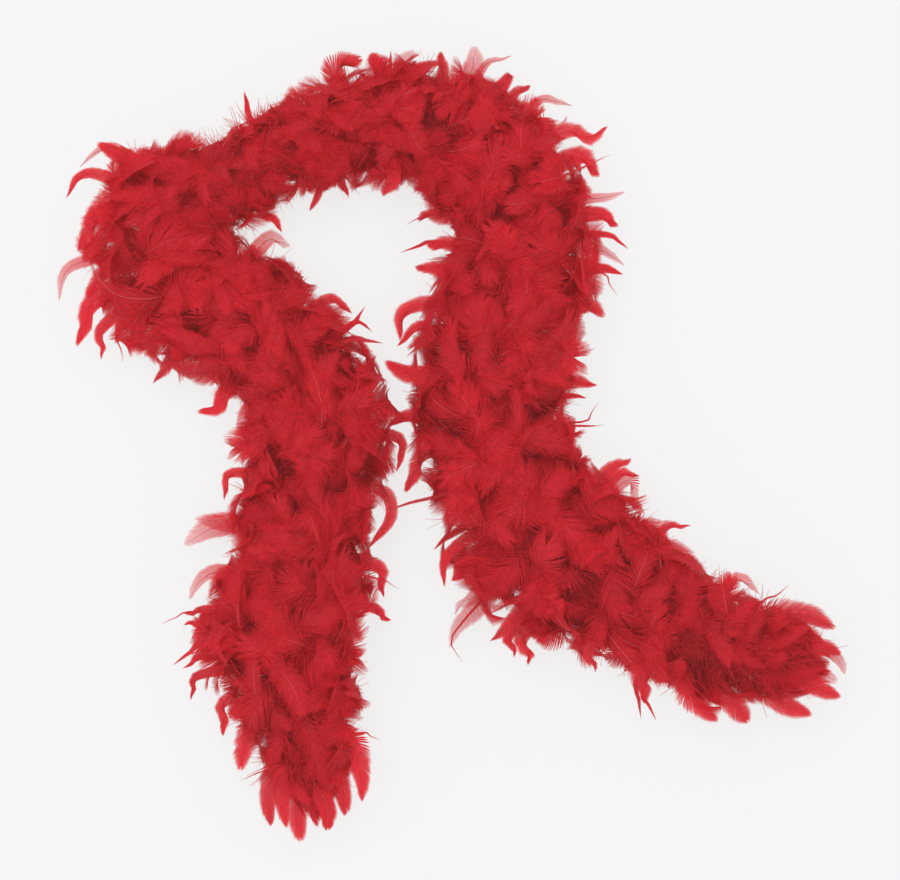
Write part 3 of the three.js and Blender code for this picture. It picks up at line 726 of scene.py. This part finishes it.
def moving_frame(centre):
    """Two directions square to each centreline (tube, row, 3), which turn as little as they can."""
    along = unit(np.gradient(centre, axis=1))
    normal = np.empty_like(centre)
    steep = np.abs(along[:, 0, 2:]) > 0.9
    current = np.cross(along[:, 0], np.where(steep, (1.0, 0.0, 0.0), UP))
    for row in range(centre.shape[1]):
        direction = along[:, row]
        current = unit(current - (current * direction).sum(-1, keepdims=True) * direction)
        normal[:, row] = current
    return normal, np.cross(along, normal)


def plied(centre, count, offset, pitch):
    """The centrelines of the plies that twist round a centreline (row, 3), as (ply, row, 3)."""
    far = np.concatenate([[0], np.cumsum(np.linalg.norm(np.diff(centre, axis=0), axis=1))])
    turn = 2 * np.pi * (far / pitch + np.arange(count)[:, None] / count)[..., None]
    normal, other = moving_frame(centre[None])
    return centre + np.reshape(offset, (-1, 1)) * (normal * np.cos(turn) + other * np.sin(turn))


def add_tubes(pile, centre, radius, sides=TUBE_SIDES):
    """Round tubes along centrelines (tube, row, 3)."""
    normal, other = moving_frame(centre)
    turn = np.linspace(0, 2 * np.pi, sides + 1)[:, None]
    ring = normal[:, :, None] * np.cos(turn) + other[:, :, None] * np.sin(turn)
    far = np.cumsum(np.linalg.norm(np.diff(centre, axis=1, prepend=centre[:, :1]), axis=-1), axis=1)
    uv = np.stack(np.broadcast_arrays(np.arange(sides + 1) / sides, 1000 * far[..., None]), -1)
    pile.add(centre[:, :, None] + ring * np.reshape(radius, (-1, 1, 1)), uv, 0.5, 0.5, 0.0)


def string_plies(phase, distance):
    """One of the two strings, which is at the angle phase round the core at the left end."""
    centre, _ = around(distance, np.full(distance.shape, STRING_OFFSET),
                       phase + 2 * np.pi * distance / STRING_TWIST_PITCH)
    return plied(centre, STRING_PLIES, STRING_PLY_OFFSET, STRING_PLY_PITCH)


def thread_plies(distance):
    """The thread, which is wound round both strings."""
    centre, _ = around(distance, np.full(distance.shape, THREAD_OFFSET), 2 * np.pi * distance / THREAD_PITCH)
    return plied(centre, THREAD_PLIES, THREAD_PLY_OFFSET, THREAD_PLY_PITCH)


def strand_piece(name, plies, distance, first, last, radius, material):
    """The stretch of some plies that lies between two distances along the boa."""
    rows = (distance >= first) & (distance <= last)
    pile = Pile()
    add_tubes(pile, plies[:, rows], radius)
    return pile.mesh(name, material)


def end_frame(end):
    """The strings' end, the direction away from the feathers there, and the direction to the left."""
    point, along, left = (value[0] for value in frames(np.array([0.0 if end == "left" else ROUTE_LENGTH])))
    return point, -along if end == "left" else along, left


def knot_piece(end, material):
    """An overhand knot drawn tight: a trefoil of plied string."""
    point, outward, side = end_frame(end)
    u = np.linspace(0, 4 * np.pi, KNOT_ROWS)[:, None]
    spread = (2 + np.cos(1.5 * u)) / 2
    across = np.cross(outward, side)
    centre = (point + KNOT_CENTRE * outward + KNOT_RADIUS * (
        spread * np.cos(u) * side + spread * np.sin(u) * across + np.sin(1.5 * u) / 2 * outward))
    pile = Pile()
    add_tubes(pile, plied(centre, STRING_PLIES, KNOT_PLY_OFFSET, KNOT_PLY_PITCH), KNOT_PLY_RADIUS)
    return pile.mesh(f"detailed_knot_{end}", material)


def tail_piece(rng, name, end, hand, material):
    """A string's cut end beyond the knot: its plies part, and it frays into fibres."""
    point, outward, side = end_frame(end)
    way = np.array([point + out * outward + hand * across * side for out, across in TAIL_WAY])
    centre = catmull_rom(way, TAIL_STEPS)
    parting = np.clip(np.linspace(-2, 1, len(centre)), 0, 1) ** 2  # over the last third
    plies = plied(centre, STRING_PLIES, STRING_PLY_OFFSET * (1 + TAIL_OPENS * parting), STRING_PLY_PITCH)
    pile = Pile()
    add_tubes(pile, plies, STRING_PLY_RADIUS * (1 - TAIL_THINS * parting))
    root = plies[rng.integers(0, STRING_PLIES, TAIL_FIBRES), rng.integers(-FRAYED_ROWS, 0, TAIL_FIBRES)]
    direction = unit(unit(centre[-1] - centre[-2]) + rng.normal(0, FIBRE_SPREAD, (TAIL_FIBRES, 3)))
    reach = rng.uniform(*FIBRE_REACH, (TAIL_FIBRES, 1, 1))
    t = np.linspace(0, 1, FIBRE_ROWS)[:, None]
    droop = rng.normal(0, FIBRE_DROOP, (TAIL_FIBRES, 1, 3)) * t**2
    fibres = root[:, None] + reach * (direction[:, None] * t + droop)
    add_tubes(pile, fibres, FIBRE_RADIUS * (1 - FIBRE_TAPER * t[:, 0]), FIBRE_SIDES)
    return pile.mesh(name, material)


# ---------- materials


class Nodes:
    """A short way to write a material's nodes."""

    def __init__(self, name):
        self.material = bpy.data.materials.new(name)
        self.material.use_nodes = True
        self.tree = self.material.node_tree
        self.tree.nodes.clear()

    def add(self, kind, sockets=(), **settings):
        node = self.tree.nodes.new(kind)
        for key, value in settings.items():
            setattr(node, key, value)
        for key, value in sockets:
            node.inputs[key].default_value = value
        return node

    def shader(self, *sockets):
        return self.add("ShaderNodeBsdfPrincipled", sockets)

    def noise(self, detail, **sockets):
        """A two-dimensional noise along the fibres, on coordinates that are mapped by the sockets."""
        lie = self.add("ShaderNodeMapping", sockets.items())
        self.link(self.add("ShaderNodeUVMap", uv_map="Fibres").outputs["UV"], lie.inputs["Vector"])
        noise = self.add("ShaderNodeTexNoise", (("Scale", 1.0), ("Detail", detail)), noise_dimensions="2D")
        self.link(lie.outputs["Vector"], noise.inputs["Vector"])
        return noise.outputs["Fac"]

    def finish(self, surface):
        """The material, with this for its surface."""
        self.link(surface, self.add("ShaderNodeOutputMaterial").inputs["Surface"])
        return self.material

    def link(self, output, socket):
        self.tree.links.new(output, socket)

    def attribute(self, name):
        return self.add("ShaderNodeAttribute", attribute_name=name).outputs["Fac"]

    def ramp(self, value, *stops):
        node = self.add("ShaderNodeValToRGB")
        elements = node.color_ramp.elements
        while len(elements) < len(stops):
            elements.new(0.5)
        for element, (place, colour) in zip(elements, stops):
            element.position = place
            element.color = (*colour, 1)
        self.link(value, node.inputs["Fac"])
        return node.outputs["Color"]

    def mix(self, factor, a, b, blend="MIX"):
        node = self.add("ShaderNodeMix", data_type="RGBA", blend_type=blend)
        for value, socket in ((factor, 0), (a, 6), (b, 7)):
            if isinstance(value, (float, int)):
                node.inputs[socket].default_value = value
            elif isinstance(value, tuple):
                node.inputs[socket].default_value = (*value, 1)
            else:
                self.link(value, node.inputs[socket])
        return node.outputs[2]


BRIGHT_RED = (0.80, 0.020, 0.038)
MID_RED = (0.78, 0.022, 0.039)
DEEP_RED = (0.74, 0.029, 0.042)
MAROON = (0.63, 0.034, 0.043)
DARK_MAROON = (0.55, 0.031, 0.040)
ROSE = (0.92, 0.30, 0.30)
SHADE_SHARE = 0.45  # how much of the colour is painted shade, darker deeper in the boa, and the rest from the dye
STREAK_SCALE = (0.4, 4.5, 1)  # per barb across, and per barb's length
STREAK_DARK = (0.84, 0.81, 0.81)
STREAK_LIGHT = (1.09, 1.10, 1.10)


def feather_material():
    """Each feather takes the dye a little differently, with painted shade deep in the boa and in the
    hollows. Light goes through it, and its quill is paler.
    """
    n = Nodes("dyed_feather")
    tone = n.attribute("tone")
    # the dark end of this ramp is also painted shade, on the feathers sunk in hollows
    dye_and_hollow_shade = n.ramp(tone, (0.0, DARK_MAROON), (0.2, DEEP_RED), (0.5, MID_RED), (1.0, BRIGHT_RED))
    # painted shade: the colour darkens towards the feathers' bases, deep in the boa near the core
    shade = n.ramp(n.attribute("depth"), (0.12, MAROON), (0.55, MID_RED), (0.95, BRIGHT_RED))
    colour = n.mix(SHADE_SHARE, dye_and_hollow_shade, shade)
    streaks = n.noise(3.0, Scale=STREAK_SCALE)
    light = n.ramp(streaks, (0.34, STREAK_DARK), (0.66, STREAK_LIGHT))
    colour = n.mix(1.0, colour, light, blend="MULTIPLY")
    colour = n.mix(n.attribute("quill"), colour, ROSE)
    # the faint white emission is painted light: a glow that lifts the feathers' shaded parts
    shader = n.shader(("Roughness", 0.62), ("Specular IOR Level", 0.18), ("Sheen Weight", 0.15),
                      ("Sheen Roughness", 0.4), ("Sheen Tint", (1.0, 0.35, 0.35, 1)),
                      ("Emission Color", (1, 1, 1, 1)), ("Emission Strength", 0.017))
    n.link(colour, shader.inputs["Base Color"])
    through = n.add("ShaderNodeBsdfTranslucent")
    n.link(colour, through.inputs["Color"])
    both = n.add("ShaderNodeMixShader", (("Fac", 0.5),))
    n.link(shader.outputs["BSDF"], both.inputs[1])
    n.link(through.outputs["BSDF"], both.inputs[2])
    return n.finish(both.outputs["Shader"])


def yarn_material(name, dark, light, roughness, twist):
    """Spun fibres that run along a ply, slightly aslant, with the colour paler where the fibres stand
    higher.
    """
    n = Nodes(name)
    fibres = n.noise(4.0, Rotation=(0, 0, twist), Scale=(26, 1.4, 1))
    bump = n.add("ShaderNodeBump", (("Strength", 0.5), ("Distance", 0.0002)))
    n.link(fibres, bump.inputs["Height"])
    shader = n.shader(("Roughness", roughness), ("Sheen Weight", 0.3))
    n.link(n.ramp(fibres, (0.35, dark), (0.7, light)), shader.inputs["Base Color"])
    n.link(bump.outputs["Normal"], shader.inputs["Normal"])
    return n.finish(shader.outputs["BSDF"])


def floor_material():
    n = Nodes("pale_floor")
    shader = n.shader(("Base Color", (0.12, 0.12, 0.12, 1)), ("Roughness", 0.9),
                      ("Emission Color", (1, 1, 1, 1)), ("Emission Strength", 0.765))
    return n.finish(shader.outputs["BSDF"])


# ---------- camera, light and floor


def add_camera():
    """A camera that looks straight down, with VIEW_WIDTH across its picture."""
    data = bpy.data.cameras.new("camera")
    data.sensor_width = SENSOR_WIDTH
    data.lens = SENSOR_WIDTH * (CAMERA_HEIGHT - CORE_HEIGHT) / VIEW_WIDTH
    camera = add_object("camera", data)
    camera.location = (*VIEW_CENTRE, CAMERA_HEIGHT)
    bpy.context.scene.camera = camera


def add_area_light(name, place, size, power):
    """A square light that shines at the middle of the object."""
    data = bpy.data.lights.new(name, "AREA")
    data.shape = "SQUARE"
    data.size = size
    data.energy = power
    light = add_object(name, data)
    light.location = place
    direction = -np.array(place)
    yaw = math.atan2(direction[1], direction[0]) - math.pi / 2
    tilt = math.atan2(math.hypot(direction[0], direction[1]), -direction[2])
    light.rotation_euler = (tilt, 0, yaw)


def add_floor():
    mesh = bpy.data.meshes.new("floor")
    corners = [(FLOOR_HALF * x, FLOOR_HALF * y, 0) for x, y in ((-1, -1), (1, -1), (1, 1), (-1, 1))]
    mesh.from_pydata(corners, [], [(0, 1, 2, 3)])
    mesh.materials.append(floor_material())
    add_object("floor", mesh)


def add_sky():
    world = bpy.data.worlds.new("soft_light")
    world.use_nodes = True
    background = world.node_tree.nodes["Background"]
    background.inputs["Color"].default_value = (1, 1, 1, 1)
    background.inputs["Strength"].default_value = SKY_STRENGTH
    bpy.context.scene.world = world


# ---------- the boa


def body_name(number):
    return f"length_{number:02d}"


def attach(piece, hinge, node):
    """Puts a stretch of the boa in place of its CAD nodes: at an end it rides on that end's length, over a
    hinge it stays where it was built.
    """
    if hinge in (0, LENGTHS):
        number = max(hinge, 1)
        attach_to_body(piece, body_name(number))
        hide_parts(f"{node}_{number:02d}")
    else:
        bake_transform(piece)
        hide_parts(f"{node}_{hinge:02d}", f"{node}_{hinge + 1:02d}")


def add_end(rng, end, body, string):
    """The knot at one end and the two tails that stick out of it."""
    knot = knot_piece(end, string)
    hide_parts(f"end_knot_{end}")
    tails = []
    for letter, hand in (("a", 1), ("b", -1)):
        tail = tail_piece(rng, f"frayed_tail_{letter}_{end}", end, hand, string)
        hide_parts(f"cord_tail_{letter}_{end}")
        tails.append(tail)
    for piece in (knot, *tails):
        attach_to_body(piece, body)


def add_boa():
    """Every piece of the boa: over each hinge, and from the middle of the end lengths to the ends."""
    feather = feather_material()
    string = yarn_material("dyed_cotton_string", dark=(0.20, 0.006, 0.012), light=(0.50, 0.022, 0.034),
                           roughness=0.85, twist=0.5)
    thread = yarn_material("sewing_thread", dark=(0.13, 0.004, 0.008), light=(0.34, 0.012, 0.02),
                           roughness=0.55, twist=-0.5)
    coarse = np.linspace(0, ROUTE_LENGTH, round(ROUTE_LENGTH / STRING_STEP))
    fine = np.linspace(0, ROUTE_LENGTH, round(ROUTE_LENGTH / THREAD_STEP))
    strings = {"a": string_plies(0, coarse), "b": string_plies(np.pi, coarse)}
    threads = thread_plies(fine)
    half = LENGTH_STEP / 2
    for hinge in range(LENGTHS + 1):
        place = {0: "left_end", LENGTHS: "right_end"}.get(hinge, f"over_hinge_{hinge:02d}")
        first, last = hinge * LENGTH_STEP - half, hinge * LENGTH_STEP + half
        for letter, plies in strings.items():
            name = f"string_{letter}_{place}"
            piece = strand_piece(name, plies, coarse, first, last, STRING_PLY_RADIUS, string)
            attach(piece, hinge, f"core_cord_{letter}")
        piece = strand_piece(f"thread_{place}", threads, fine, first, last, THREAD_PLY_RADIUS, thread)
        attach(piece, hinge, "lock_stitch")
        first, last = max(first, BARE_END), min(last, ROUTE_LENGTH - BARE_END)
        rng = np.random.default_rng([SEED, hinge])
        piece = feather_piece(rng, f"feathers_{place}", first, last, HINGE_FILLING.get(hinge, 1), feather)
        attach(piece, hinge, "feather_tuft")
    rng = np.random.default_rng(SEED)
    add_end(rng, "left", body_name(1), string)
    add_end(rng, "right", body_name(LENGTHS), string)


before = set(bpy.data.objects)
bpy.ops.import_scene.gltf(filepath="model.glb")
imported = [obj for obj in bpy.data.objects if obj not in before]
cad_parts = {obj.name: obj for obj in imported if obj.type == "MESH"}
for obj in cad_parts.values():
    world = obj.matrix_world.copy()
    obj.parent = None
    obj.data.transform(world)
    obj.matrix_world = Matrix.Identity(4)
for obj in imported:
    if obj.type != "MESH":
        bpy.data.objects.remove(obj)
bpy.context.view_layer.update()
bpy.context.scene.view_settings.view_transform = "Standard"
add_camera()
add_floor()
add_sky()
add_area_light("key", KEY_PLACE, KEY_SIZE, KEY_POWER)
add_boa()
